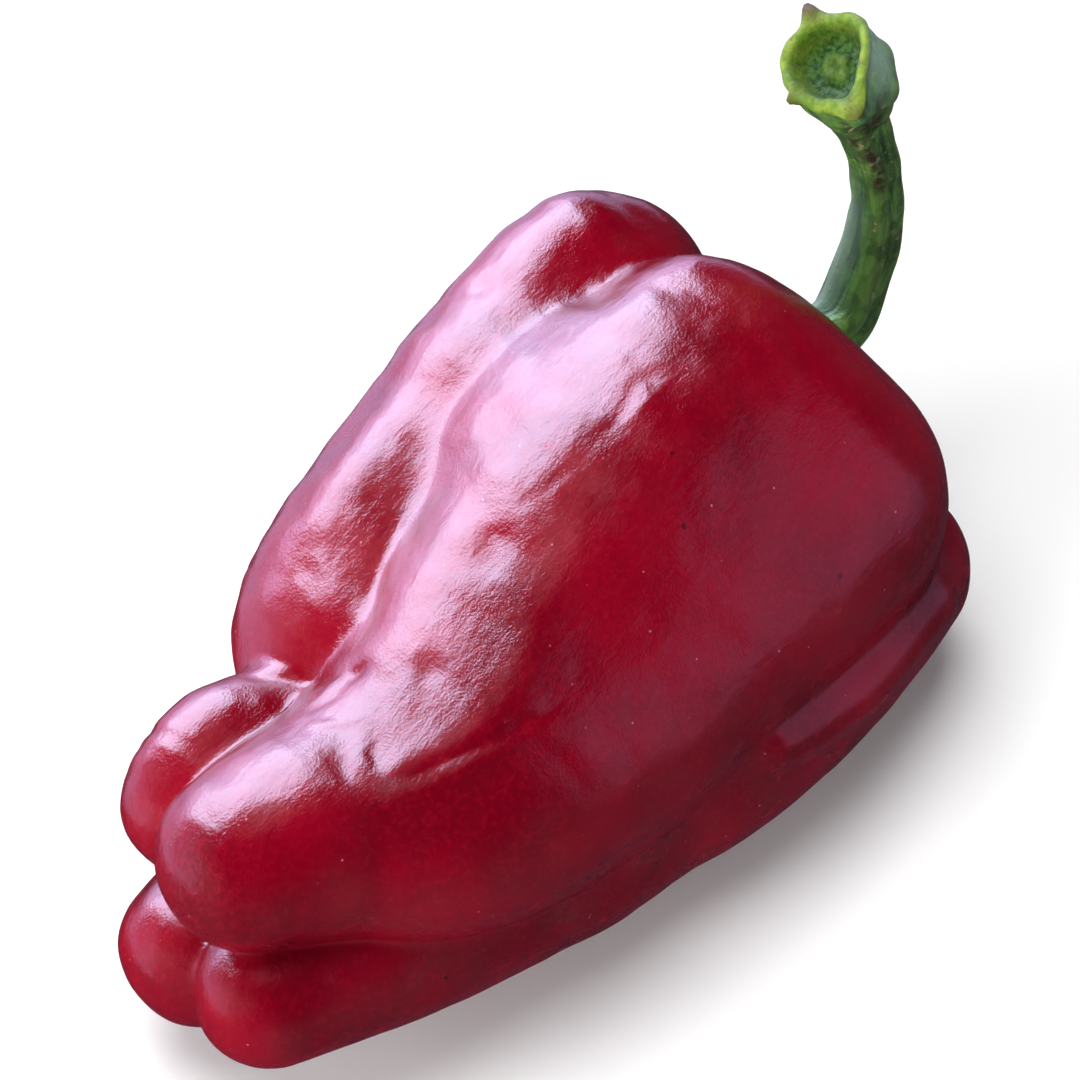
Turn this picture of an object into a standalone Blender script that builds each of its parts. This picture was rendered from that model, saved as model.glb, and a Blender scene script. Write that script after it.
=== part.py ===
"""A sweet bell pepper, as picked, lying on its side: a four-lobed hollow fruit, its calyx and its cut stem.

Lengths below are in millimetres, in the fruit's own frame: along is +X towards the stem, across and up are
square to it, and the whole fruit is rolled about X so that it rests on its bottom and right lobes.
"""

import math

import bmesh
import bpy
import numpy as np
from mathutils import Vector

MILLIMETRE = 0.001
ROLL = math.radians(24.0)

# One row for each station of a lobe's centre line: along, across, up, radius. The body of a lobe runs
# from the shoulder to the waist, and its finger is the blunt point at the blossom end.
LEFT_BODY = [
    (33.0, -27.7, 2.0, 15.4),
    (24.0, -27.0, 1.0, 17.0),
    (11.0, -25.0, 0.0, 17.3),
    (-1.7, -23.0, -1.0, 18.5),
    (-13.5, -21.0, -2.0, 19.0),
    (-22.5, -18.8, -3.0, 19.2),
    (-27.5, -16.8, -3.0, 18.8),
]
LEFT_CREST = [(31.0, -34.5, 8.5, 8.8), (22.0, -33.8, 8.0, 10.0), (8.0, -29.0, 5.0, 14.0)]
LEFT_FINGER = [
    (-38.0, -12.5, -3.5, 11.5),
    (-48.0, -15.4, -1.5, 10.1),
    (-54.0, -17.2, -1.0, 10.3),
    (-59.0, -18.0, -1.2, 10.4),
    (-63.0, -17.4, -1.8, 9.6),
]
LEFT_WEB = [
    (14.0, -21.6, 17.2, 8.8),
    (8.0, -21.7, 17.0, 9.4),
    (2.0, -21.5, 17.0, 9.0),
    (-5.0, -21.0, 16.8, 7.5),
]
TOP_BODY = [
    (24.5, -3.0, 14.5, 20.5),
    (14.9, -4.0, 15.0, 20.7),
    (-1.4, -5.0, 14.0, 21.0),
    (-17.1, -4.0, 12.0, 20.0),
    (-30.0, -1.0, 11.0, 18.2),
    (-43.0, -1.3, 10.3, 14.2),
]
TOP_EDGE = [(27.0, -14.0, 19.0, 12.3), (17.0, -12.0, 18.5, 15.0), (5.0, -8.0, 16.0, 18.7)]
TOP_FLANK = [
    (27.0, 12.5, 13.0, 20.0),
    (16.1, 12.0, 12.5, 20.2),
    (-0.4, 10.5, 12.0, 20.3),
    (-16.4, 10.5, 10.5, 19.6),
    (-30.0, 7.0, 10.5, 17.5),
]
TOP_FINGER = [
    (-34.2, 6.5, 9.6, 18.0),
    (-44.3, 4.2, 9.5, 16.8),
    (-54.0, -0.6, 10.8, 14.6),
    (-61.0, -4.8, 11.5, 13.8),
    (-67.8, -7.6, 12.0, 12.4),
]
BOTTOM_BODY = [
    (31.0, -8.0, -13.0, 18.0),
    (15.0, -7.0, -17.0, 21.0),
    (0.0, -6.0, -17.0, 20.5),
    (-15.0, -5.0, -16.5, 18.5),
    (-27.0, -4.0, -16.0, 16.0),
]
BOTTOM_FINGER = [(-27.0, -3.0, -15.0, 13.5), (-47.9, -3.5, -16.0, 12.3), (-71.4, -3.5, -17.0, 11.0)]
RIGHT_BODY = [
    (35.6, 27.5, -1.0, 13.3),
    (25.5, 26.5, -2.0, 15.5),
    (12.4, 25.0, -2.5, 17.4),
    (-1.6, 22.5, -3.5, 18.6),
    (-13.1, 19.5, -5.0, 18.4),
    (-26.0, 16.5, -6.0, 18.3),
]
RIGHT_FINGER = [
    (-26.0, 16.5, -6.0, 17.8),
    (-37.2, 15.0, -6.0, 16.5),
    (-48.9, 12.5, -5.0, 15.2),
    (-61.6, 10.0, -4.0, 12.6),
    (-73.6, 7.0, -3.0, 10.3),
]
CORE = [
    (18.0, 0.0, 0.0, 22.0),
    (0.0, 0.0, 0.0, 26.0),
    (-20.0, -1.0, 0.0, 22.0),
    (-36.0, -2.0, -1.0, 15.0),
    (-58.0, -3.0, -2.0, 9.0),
]

# How softly the centre lines of one lobe run together, and how softly neighbouring lobes meet in a groove:
# the grooves are tight between the fingers and shallow round the middle.
LOBES = [
    (1.5, [LEFT_BODY, LEFT_CREST, LEFT_FINGER]),
    (1.5, [LEFT_WEB]),
    (3.5, [TOP_BODY, TOP_EDGE, TOP_FLANK, TOP_FINGER]),
    (2.5, [BOTTOM_BODY, BOTTOM_FINGER]),
    (1.5, [RIGHT_BODY, RIGHT_FINGER]),
    (1.0, [CORE]),
]
GROOVE_ALONG = (-70.0, -45.0, -25.0, -5.0, 20.0, 45.0)
GROOVE_BLEND = (1.4, 1.7, 2.2, 3.0, 3.0, 1.8)
STEPS_PER_LINE = 15
VOXEL = 3.3

# The calyx is a five-pointed green cap in the hollow between the shoulders.
CALYX_ACROSS = -1.0
CALYX_UP = 0.0
CALYX_RADIUS = 12.5
CALYX_POINT = 2.2
CALYX_POINTS = 5
CALYX_THICKNESS = 1.5
CALYX_COLLAR = 5.0
CALYX_COLLAR_RADIUS = 4.6
GAP = 0.6

# The stem's centre line, in the fruit's frame, and its radius along it: along, across, up, radius. It
# leaves the hollow along the fruit, curves upwards and ends in the swollen head where it was cut.
STEM_LINE = [
    (52.0, -1.0, 0.6, 4.3),
    (58.3, -2.0, 4.0, 4.6),
    (63.5, -5.8, 12.0, 4.3),
    (65.5, -9.7, 20.0, 3.9),
    (65.7, -13.5, 26.3, 3.6),
    (64.9, -17.2, 32.0, 3.7),
    (63.4, -20.5, 36.8, 4.2),
    (61.4, -23.4, 42.3, 6.2),
    (60.2, -25.0, 45.3, 7.0),
    (58.1, -27.8, 48.7, 6.8),
]
STEM_GAP = 0.4
STEM_SIDES = 18
STEM_STEPS = 26
CUP_RADIUS = 5.4
CUP_DEPTH = 1.8

SKIN_RED = (0.36, 0.004, 0.012)
CALYX_GREEN = (0.09, 0.19, 0.03)
STEM_GREEN = (0.07, 0.17, 0.03)


def clear_scene():
    for obj in list(bpy.data.objects):
        bpy.data.objects.remove(obj, do_unlink=True)


def make_material(name, colour, roughness):
    material = bpy.data.materials.new(name)
    material.use_nodes = True
    shader = material.node_tree.nodes["Principled BSDF"]
    shader.inputs["Base Color"].default_value = (*colour, 1.0)
    shader.inputs["Roughness"].default_value = roughness
    shader.inputs["Metallic"].default_value = 0.0
    return material


def smooth_line(stations, steps):
    """Points on a Catmull-Rom curve through the stations, each with its radius."""
    rows = np.array(stations)
    rows = np.vstack([2 * rows[0] - rows[1], rows, 2 * rows[-1] - rows[-2]])
    place = np.linspace(0, len(rows) - 3, steps)
    span = np.minimum(place.astype(int), len(rows) - 4)
    t = (place - span)[:, None]
    before, start, end, after = (rows[span + shift] for shift in range(4))
    return 0.5 * (
        2 * start
        + (end - before) * t
        + (2 * before - 5 * start + 4 * end - after) * t**2
        + (3 * start - before - 3 * end + after) * t**3
    )


def rolled(rows):
    """Rows of along, across, up and radius turned into X, Y, Z and radius with the fruit lying down."""
    along, across, up = rows[:, 0], rows[:, 1], rows[:, 2]
    y = -math.cos(ROLL) * across - math.sin(ROLL) * up
    z = -math.sin(ROLL) * across + math.cos(ROLL) * up
    return np.column_stack([along, y, z, rows[:, 3:]])


def distance_to_line(points, line):
    """Signed distance to the round tapered tube along a line."""
    nearest = np.full(len(points), np.inf)
    for start, end in zip(line[:-1], line[1:]):
        step = end[:3] - start[:3]
        offset = points - start[:3]
        t = np.clip(offset @ step / (step @ step), 0.0, 1.0)
        gap = np.linalg.norm(offset - t[:, None] * step, axis=1)
        nearest = np.minimum(nearest, gap - start[3] - t * (end[3] - start[3]))
    return nearest


def blended(distances, softness):
    """The smooth minimum of several distances."""
    stack = np.array(distances)
    lowest = stack.min(axis=0)
    return lowest - softness * np.log(np.exp((lowest - stack) / softness).sum(axis=0))


class Fruit:
    """The fruit's outer surface, as the signed distance to its blended lobes."""

    def __init__(self):
        self.lobes = [
            (softness, [rolled(smooth_line(line, STEPS_PER_LINE)) for line in lines])
            for softness, lines in LOBES
        ]

    def distance(self, points):
        lobes = [
            blended([distance_to_line(points, line) for line in lines], softness)
            for softness, lines in self.lobes
        ]
        return blended(lobes, np.interp(points[:, 0], GROOVE_ALONG, GROOVE_BLEND))

    def slope(self, points):
        step = 0.2
        here = self.distance(points)
        sides = [self.distance(points + step * np.eye(3)[axis]) - here for axis in range(3)]
        slope = np.array(sides).T
        return slope / np.linalg.norm(slope, axis=1, keepdims=True)

    def onto_surface(self, points):
        for _ in range(4):
            points = points - self.distance(points)[:, None] * self.slope(points)
        return points

    def height(self, y, z, level):
        """X of the shoulder end where the distance is level, found from outside."""
        points = np.column_stack([np.full(len(y), 75.0), y, z])
        for _ in range(60):
            points[:, 0] -= 0.7 * (self.distance(points) - level)
        return points[:, 0]


def add_object(name, mesh, material):
    mesh.name = name
    obj = bpy.data.objects.new(name, mesh)
    bpy.context.scene.collection.objects.link(obj)
    obj.data.materials.clear()
    obj.data.materials.append(material)
    mesh.shade_smooth()
    return obj


def vertex_places(mesh):
    places = np.empty(len(mesh.vertices) * 3)
    mesh.vertices.foreach_get("co", places)
    return places.reshape(-1, 3)


def set_vertex_places(mesh, places):
    mesh.vertices.foreach_set("co", places.astype(np.float32).ravel())
    mesh.update()


def merged_spheres(fruit):
    """A closed mesh round balls set along every lobe line, made one body by a voxel remesh."""
    form = bmesh.new()
    for _, lines in fruit.lobes:
        for line in lines:
            for x, y, z, radius in line:
                made = bmesh.ops.create_icosphere(form, subdivisions=3, radius=radius)
                bmesh.ops.translate(form, verts=made["verts"], vec=(x, y, z))
    mesh = bpy.data.meshes.new("balls")
    form.to_mesh(mesh)
    form.free()
    balls = bpy.data.objects.new("balls", mesh)
    bpy.context.scene.collection.objects.link(balls)
    remesh = balls.modifiers.new("one_body", "REMESH")
    remesh.mode = "VOXEL"
    remesh.voxel_size = VOXEL
    bpy.context.view_layer.update()
    graph = bpy.context.evaluated_depsgraph_get()
    merged = bpy.data.meshes.new_from_object(balls.evaluated_get(graph))
    bpy.data.objects.remove(balls, do_unlink=True)
    return merged


def make_fruit(fruit):
    mesh = merged_spheres(fruit)
    set_vertex_places(mesh, fruit.onto_surface(vertex_places(mesh)))
    return add_object("fruit", mesh, make_material("pepper_skin", SKIN_RED, 0.22))


def calyx_centre():
    centre = rolled(np.array([(0.0, CALYX_ACROSS, CALYX_UP, 0.0)]))[0]
    return centre[1], centre[2]


def make_calyx(fruit):
    """A ball flattened into a cap: its lower half lies along the hollow, its upper half is the green face."""
    form = bmesh.new()
    bmesh.ops.create_uvsphere(form, u_segments=40, v_segments=16, radius=1.0)
    mesh = bpy.data.meshes.new("calyx")
    form.to_mesh(mesh)
    form.free()
    unit = vertex_places(mesh)
    fall = np.arccos(np.clip(np.abs(unit[:, 2]), 0.0, 1.0)) / (math.pi / 2)
    turn = np.arctan2(unit[:, 1], unit[:, 0])
    rim = CALYX_RADIUS + CALYX_POINT * np.cos(CALYX_POINTS * turn)
    reach = rim * fall
    centre_y, centre_z = calyx_centre()
    y = centre_y + reach * np.cos(turn)
    z = centre_z + reach * np.sin(turn)
    under = fruit.height(y, z, GAP)
    swell = np.sqrt(np.clip(1.0 - fall**4, 0.0, 1.0))
    collar = CALYX_COLLAR / (1.0 + (reach / CALYX_COLLAR_RADIUS) ** 6)
    top = under + CALYX_THICKNESS * swell + collar * (fall < 1.0)
    level_top = top[np.argmax(unit[:, 2])]
    top[reach < CALYX_RADIUS / 2] = np.minimum(top[reach < CALYX_RADIUS / 2], level_top)
    top[reach < 0.75 * CALYX_COLLAR_RADIUS] = level_top
    x = np.where(unit[:, 2] > 1e-4, top, under)
    set_vertex_places(mesh, np.column_stack([x, y, z]))
    if not faces_point_out(mesh):
        mesh.flip_normals()
    return add_object("calyx", mesh, make_material("calyx_green", CALYX_GREEN, 0.5)), level_top


def faces_point_out(mesh):
    form = bmesh.new()
    form.from_mesh(mesh)
    volume = form.calc_volume(signed=True)
    form.free()
    return volume > 0


def line_frames(centres):
    """For each point of a line, its tangent and two directions square to it that don't twist."""
    tangents = np.gradient(centres, axis=0)
    tangents /= np.linalg.norm(tangents, axis=1, keepdims=True)
    tangents[0] = (1.0, 0.0, 0.0)
    side = np.cross(tangents[0], (0.0, 1.0, 0.0))
    frames = []
    for tangent in tangents:
        side = side - (side @ tangent) * tangent
        side /= np.linalg.norm(side)
        frames.append((tangent, side, np.cross(tangent, side)))
    return frames


def make_stem(start_along):
    """A circle drawn out along the stem's line, closed at the root, with a shallow cup in the cut face."""
    stations = [(start_along, *STEM_LINE[0][1:])] + STEM_LINE[1:]
    rows = rolled(smooth_line(stations, STEM_STEPS))
    frames = line_frames(rows[:, :3])
    turns = np.arange(STEM_SIDES) * (2 * math.pi / STEM_SIDES)
    tangent, side, other = frames[-1]
    end = rows[-1, :3]
    rings = [(rows[i, :3], frames[i][1], frames[i][2], rows[i, 3]) for i in range(len(rows))]
    rings.append((end + 0.6 * tangent, side, other, rows[-1, 3] - 0.9))
    rings.append((end + 0.2 * tangent, side, other, CUP_RADIUS))
    rings.append((end + (0.3 - CUP_DEPTH) * tangent, side, other, CUP_RADIUS * 0.7))
    form = bmesh.new()
    made = bmesh.ops.create_circle(form, cap_ends=True, radius=1.0, segments=STEM_SIDES)
    ring = made["verts"]
    edges = list(form.edges)
    for index, (centre, first, second, radius) in enumerate(rings):
        if index:
            grown = bmesh.ops.extrude_edge_only(form, edges=edges)["geom"]
            ring = [item for item in grown if isinstance(item, bmesh.types.BMVert)]
            edges = [item for item in grown if isinstance(item, bmesh.types.BMEdge)]
            edges = [edge for edge in edges if edge.verts[0] in ring and edge.verts[1] in ring]
        for vert, turn in zip(ring, turns):
            vert.co = Vector(centre + radius * (math.cos(turn) * first + math.sin(turn) * second))
    bmesh.ops.contextual_create(form, geom=edges)
    bmesh.ops.recalc_face_normals(form, faces=form.faces)
    mesh = bpy.data.meshes.new("stem")
    form.to_mesh(mesh)
    form.free()
    return add_object("stem", mesh, make_material("stem_green", STEM_GREEN, 0.45))


def stand_on_origin(objects):
    """Moves the whole pepper so that the middle of its box's underside is the origin, and makes it metres."""
    everything = np.vstack([vertex_places(obj.data) for obj in objects])
    low, high = everything.min(axis=0), everything.max(axis=0)
    middle = np.array([(low[0] + high[0]) / 2, (low[1] + high[1]) / 2, low[2]])
    for obj in objects:
        set_vertex_places(obj.data, (vertex_places(obj.data) - middle) * MILLIMETRE)


def main():
    clear_scene()
    shape = Fruit()
    fruit = make_fruit(shape)
    calyx, collar_top = make_calyx(shape)
    stem = make_stem(collar_top + STEM_GAP)
    stand_on_origin([fruit, calyx, stem])


main()
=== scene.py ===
"""A ripe red bell pepper lying on its side on a pale table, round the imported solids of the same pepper."""

import math

import bmesh
import bpy
import numpy as np
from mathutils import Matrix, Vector


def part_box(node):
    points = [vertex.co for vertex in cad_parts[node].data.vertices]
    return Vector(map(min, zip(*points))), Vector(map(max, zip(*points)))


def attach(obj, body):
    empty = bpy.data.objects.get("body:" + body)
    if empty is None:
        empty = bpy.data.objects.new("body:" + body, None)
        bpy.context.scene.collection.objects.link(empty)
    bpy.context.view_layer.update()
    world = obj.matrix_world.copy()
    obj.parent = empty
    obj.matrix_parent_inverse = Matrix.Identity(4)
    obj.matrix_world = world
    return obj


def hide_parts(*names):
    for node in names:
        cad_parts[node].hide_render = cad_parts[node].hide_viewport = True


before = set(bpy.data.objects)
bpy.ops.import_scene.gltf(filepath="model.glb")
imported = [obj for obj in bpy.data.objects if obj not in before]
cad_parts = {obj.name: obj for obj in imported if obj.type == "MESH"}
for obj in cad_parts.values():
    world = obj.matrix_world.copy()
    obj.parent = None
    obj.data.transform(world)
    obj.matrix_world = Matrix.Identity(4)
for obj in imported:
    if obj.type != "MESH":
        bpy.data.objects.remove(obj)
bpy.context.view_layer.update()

MILLIMETRE = 0.001

# ---------------------------------------------------------------------------------------------------
# The fruit: a hollow berry of four grown-together lobes, with a thick waxy crimson skin. Each lobe runs from
# a shoulder beside the stem down to a blunt finger at the blossom end, and the fruit lies rolled onto the belly
# of one of them. Sizes are millimetres in its own frame: along is X, across and up are square to it.

ROLL = math.radians(24.0)

# Stations of each lobe's centre line: along, across, up, radius.
LEFT_BODY = [
    (33.0, -27.7, 2.0, 15.4),
    (24.0, -27.0, 1.0, 17.0),
    (11.0, -25.0, 0.0, 17.3),
    (-1.7, -23.0, -1.0, 18.5),
    (-13.5, -21.0, -2.0, 19.0),
    (-22.5, -18.8, -3.0, 19.2),
    (-27.5, -16.8, -3.0, 18.8),
]
LEFT_CREST = [(31.0, -34.5, 8.5, 8.8), (22.0, -33.8, 8.0, 10.0), (8.0, -29.0, 5.0, 14.0)]
LEFT_FINGER = [
    (-38.0, -12.5, -3.5, 11.5),
    (-48.0, -15.4, -1.5, 10.1),
    (-54.0, -17.2, -1.0, 10.3),
    (-59.0, -18.0, -1.2, 10.4),
    (-63.0, -17.4, -1.8, 9.6),
]
LEFT_RIM = [
    (-49.0, -19.0, 1.8, 6.0),
    (-56.0, -22.2, 2.2, 6.0),
    (-61.5, -22.0, 1.4, 5.8),
    (-65.5, -20.0, 0.0, 5.2),
]
LEFT_WEB = [
    (14.0, -21.6, 17.2, 8.8),
    (8.0, -21.7, 17.0, 9.4),
    (2.0, -21.5, 17.0, 9.0),
    (-5.0, -21.0, 16.8, 7.5),
]
TOP_BODY = [
    (24.5, -3.0, 14.5, 20.5),
    (14.9, -4.0, 15.0, 20.7),
    (-1.4, -5.0, 14.0, 21.0),
    (-17.1, -4.0, 12.0, 20.0),
    (-30.0, -1.0, 11.0, 18.2),
    (-43.0, -3.2, 7.0, 13.2),
]
TOP_EDGE = [(27.0, -14.0, 19.0, 12.3), (17.0, -12.0, 18.5, 15.0), (5.0, -8.0, 16.0, 18.7)]
TOP_FLANK = [
    (27.0, 12.5, 13.0, 20.0),
    (16.1, 12.0, 12.5, 20.2),
    (-0.4, 10.5, 12.0, 20.3),
    (-16.4, 10.5, 10.5, 19.6),
    (-30.0, 7.0, 10.5, 17.5),
]
TOP_FINGER = [
    (-34.2, 7.0, 10.4, 18.3),
    (-44.3, 5.0, 10.5, 17.2),
    (-54.0, -0.6, 10.8, 14.6),
    (-61.0, -4.8, 11.5, 13.8),
    (-67.8, -7.6, 12.0, 12.4),
]
BOTTOM_BODY = [
    (31.0, -8.0, -13.0, 18.0),
    (15.0, -7.0, -17.0, 21.0),
    (0.0, -6.0, -17.0, 20.5),
    (-15.0, -5.0, -16.5, 18.5),
    (-27.0, -4.0, -16.0, 16.0),
]
BOTTOM_FINGER = [(-27.0, -3.0, -15.0, 13.5), (-47.9, -3.5, -16.0, 12.3), (-71.4, -3.5, -17.0, 11.0)]
RIGHT_BODY = [
    (35.6, 27.5, -1.0, 13.3),
    (25.5, 26.5, -2.0, 15.5),
    (12.4, 25.0, -2.5, 17.4),
    (-1.6, 22.5, -3.5, 18.6),
    (-13.1, 19.5, -5.0, 18.4),
    (-26.0, 16.5, -6.0, 18.3),
]
RIGHT_FINGER = [
    (-26.0, 16.5, -6.0, 17.8),
    (-37.2, 15.0, -6.0, 16.5),
    (-48.9, 12.5, -5.0, 15.2),
    (-61.6, 10.0, -4.0, 12.6),
    (-73.6, 7.0, -3.0, 10.3),
]
RIGHT_EDGE = [
    (32.2, 34.4, 7.0, 4.6),
    (19.3, 34.8, 9.0, 4.8),
    (12.8, 34.5, 9.5, 4.8),
    (4.1, 33.2, 11.0, 4.5),
    (-3.0, 31.5, 12.5, 4.0),
]
CORE = [
    (18.0, 0.0, 0.0, 22.0),
    (0.0, 0.0, 0.0, 26.0),
    (-20.0, -1.0, 0.0, 22.0),
    (-36.0, -2.0, -1.0, 15.0),
    (-58.0, -3.0, -2.0, 9.0),
]
# Each lobe: how softly its own lines run together, and the lines.
LOBES = [
    (1.3, [LEFT_BODY, LEFT_CREST, LEFT_FINGER, LEFT_RIM]),
    (1.5, [LEFT_WEB]),
    (3.5, [TOP_BODY, TOP_EDGE, TOP_FLANK, TOP_FINGER]),
    (2.5, [BOTTOM_BODY, BOTTOM_FINGER]),
    (1.0, [RIGHT_BODY, RIGHT_FINGER, RIGHT_EDGE]),
    (1.0, [CORE]),
]
# The grooves between lobes are sharp at the fingers and soft over the body: places along, and softness there.
GROOVE_ALONG = (-70.0, -45.0, -25.0, -5.0, 20.0, 45.0)
GROOVE_BLEND = (0.6, 0.8, 1.2, 1.5, 1.5, 1.0)
FRUIT_VOXEL = 0.75
BALLS_TO_A_LINE = 14
STEPS_TO_A_STATION = 5

# Folds and dents: a depth drawn in, a width, and a route of along, across, up. A negative depth stands out.
FOLDS = [
    # The finger's root, where the skin buckled into two arcs with a bright crescent between them.
    (0.45, 1.4, [(-47.3, -9.2, 24.4), (-50.7, -5.2, 25.8), (-52.5, -2.0, 26.1)]),
    (0.25, 1.2, [(-53.2, -9.5, 24.2), (-55.0, -7.3, 24.8), (-56.2, -5.2, 25.2)]),
    (-0.35, 1.2, [(-50.4, -9.4, 24.4), (-52.9, -6.3, 25.4), (-54.3, -3.6, 25.9)]),
    # The long crease that runs back from it, its short branch and the lip between them.
    (
        0.6,
        0.85,
        [
            (-52.4, -1.6, 26.7),
            (-47.6, 1.0, 28.0),
            (-42.8, 3.0, 29.4),
            (-37.0, 5.0, 30.9),
            (-31.5, 6.6, 31.8),
        ],
    ),
    (0.35, 0.7, [(-51.3, -0.4, 26.5), (-49.5, 0.9, 26.9), (-47.3, 2.0, 27.3)]),
    (-0.3, 1.0, [(-48.5, 2.2, 27.6), (-43.5, 4.3, 28.9), (-38.5, 6.2, 30.2)]),
    # The thin ridge over the finger's flank.
    (-0.25, 0.7, [(-52.0, -14.0, 19.3), (-50.3, -12.4, 21.3), (-47.6, -10.4, 23.4)]),
    # The waist of the left lobe, where its body hangs over its finger.
    (0.7, 1.2, [(-48.7, -24.5, 5.3), (-45.9, -21.7, 7.6), (-43.6, -18.4, 11.0), (-42.6, -15.2, 18.5)]),
    # The pit where three lobes meet and the wrinkles that run from it.
    (0.6, 1.8, [(-41.5, -15.6, 18.8), (-43.2, -14.6, 20.6)]),
    (0.25, 0.6, [(-43.5, -15.4, 18.6), (-46.6, -14.8, 18.4), (-49.5, -15.0, 17.0)]),
    (-0.22, 0.6, [(-43.4, -16.4, 16.8), (-47.0, -16.0, 16.2), (-50.0, -16.4, 14.6)]),
    # The valley between the left and top lobes: deep low down, filled to a ramp higher up.
    (0.6, 1.6, [(-21.4, -24.9, 16.3), (-29.4, -21.7, 16.0), (-36.5, -17.8, 18.2)]),
    (-1.4, 5.0, [(-4.0, -37.0, 11.5), (-14.0, -35.3, 11.3), (-24.0, -32.6, 10.4), (-30.0, -30.6, 9.0)]),
    (0.7, 3.0, [(13.0, -40.5, 12.0), (16.0, -38.0, 15.0)]),
    # Dents in the top lobe's flank.
    (0.7, 3.6, [(-17.5, -16.5, 29.0), (-21.0, -14.2, 29.4), (-25.0, -12.0, 29.4)]),
    (0.35, 2.2, [(-36.0, -9.5, 28.0), (-38.0, -8.5, 28.0), (-40.0, -7.0, 28.0)]),
    # The top lobe's own crest, which runs down onto its finger.
    (
        -1.1,
        4.5,
        [
            (-14.0, -5.5, 33.4),
            (-27.2, -1.7, 32.4),
            (-36.3, 1.2, 31.4),
            (-44.5, 1.6, 29.1),
            (-52.5, 0.0, 26.8),
            (-60.0, -3.5, 25.5),
            (-66.3, -9.0, 24.5),
        ],
    ),
    # The wrinkle that breaks the edge of the light on the top lobe.
    (0.20, 0.8, [(14.5, -14.0, 36.0), (9.1, -15.7, 35.5), (4.6, -14.1, 36.1), (-2.4, -14.1, 35.3)]),
    (0.16, 0.8, [(1.0, -13.6, 35.8), (-6.3, -13.7, 34.4), (-10.4, -14.1, 32.9), (-14.0, -14.6, 31.5)]),
    (-0.16, 0.8, [(12.0, -12.6, 36.3), (7.0, -12.9, 36.3), (3.0, -12.4, 36.3)]),
]
FOLD_REACH = 4.0
FOLD_AT_ENDS = 0.3
# Slow swells of the skin: wavelength and height. They fade from the left of the fruit to its middle.
SWELLS = ((27.0, 0.20), (15.0, 0.13), (9.0, 0.09), (5.5, 0.05), (3.3, 0.02))
WAVES_PER_SWELL = 6
SWELLS_FADE_ACROSS = (-18.0, 4.0)
SWELLS_FADE = (1.0, 0.45)


def with_ends(stations):
    """The stations as rows, with one more row beyond each end for the curve to lean on."""
    rows = np.array(stations, float)
    return np.vstack([2 * rows[0] - rows[1], rows, 2 * rows[-1] - rows[-2]])


def on_curve(rows, place):
    """Rows and their rate of change at places on a Catmull-Rom curve, counted in stations."""
    span = np.minimum(place.astype(int), len(rows) - 4)
    t = (place - span)[:, None]
    before, start, end, after = (rows[span + shift] for shift in range(4))
    line = end - before
    square = 2 * before - 5 * start + 4 * end - after
    cube = 3 * start - before - 3 * end + after
    row = 0.5 * (2 * start + line * t + square * t**2 + cube * t**3)
    return row, 0.5 * (line + 2 * square * t + 3 * cube * t**2)


def rolled(rows):
    """Rows of along, across, up and more turned into X, Y, Z and more, with the fruit lying down."""
    along, across, up = rows[:, 0], rows[:, 1], rows[:, 2]
    y = -math.cos(ROLL) * across - math.sin(ROLL) * up
    z = -math.sin(ROLL) * across + math.cos(ROLL) * up
    return np.column_stack([along, y, z, rows[:, 3:]])


def beside_curve(points, rows):
    """For each point, its nearest place on a curve, its offset from it, its gap to the tube and the way out."""
    last = len(rows) - 3
    steps = np.linspace(0.0, last, STEPS_TO_A_STATION * last + 1)
    nearest = np.full(len(points), np.inf)
    place = np.zeros(len(points))
    for step, (x, y, z, radius) in zip(steps, on_curve(rows, steps)[0]):
        gap = np.sqrt(((points - (x, y, z)) ** 2).sum(axis=1)) - radius
        closer = gap < nearest
        nearest[closer] = gap[closer]
        place[closer] = step
    for _ in range(2):
        centre, rate = on_curve(rows, place)
        offset = points - centre[:, :3]
        reach = np.sqrt((offset**2).sum(axis=1))
        change = -(offset * rate[:, :3]).sum(axis=1) / reach - rate[:, 3]
        place = np.clip(place - change * reach / (rate[:, :3] ** 2).sum(axis=1), 0.0, last)
    centre = on_curve(rows, place)[0]
    offset = points - centre[:, :3]
    reach = np.sqrt((offset**2).sum(axis=1))
    return place / last, offset, reach - centre[:, 3], offset / reach[:, None]


def blended(gaps, outs, softness):
    """The smooth minimum of several gaps, and the way out there."""
    gaps = np.array(gaps)
    lowest = gaps.min(axis=0)
    share = np.exp((lowest - gaps) / softness)
    total = share.sum(axis=0)
    out = ((share / total)[:, :, None] * np.array(outs)).sum(axis=0)
    return lowest - softness * np.log(total), out


def fruit_surface(points):
    """Signed distance to the fruit's smooth skin and the way out of it."""
    lobes = []
    for softness, lines in lobe_lines:
        tubes = [beside_curve(points, line)[2:] for line in lines]
        lobes.append(blended([gap for gap, _ in tubes], [out for _, out in tubes], softness))
    softness = np.interp(points[:, 0], GROOVE_ALONG, GROOVE_BLEND)
    gap, out = blended([gap for gap, _ in lobes], [out for _, out in lobes], softness)
    return gap, out / np.linalg.norm(out, axis=1, keepdims=True)


def onto_fruit(points, times):
    """Points drawn onto the fruit's skin, closer each time, and the way out there."""
    for _ in range(times):
        gap, out = fruit_surface(points)
        points = points - gap[:, None] * out
    return points, out


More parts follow.
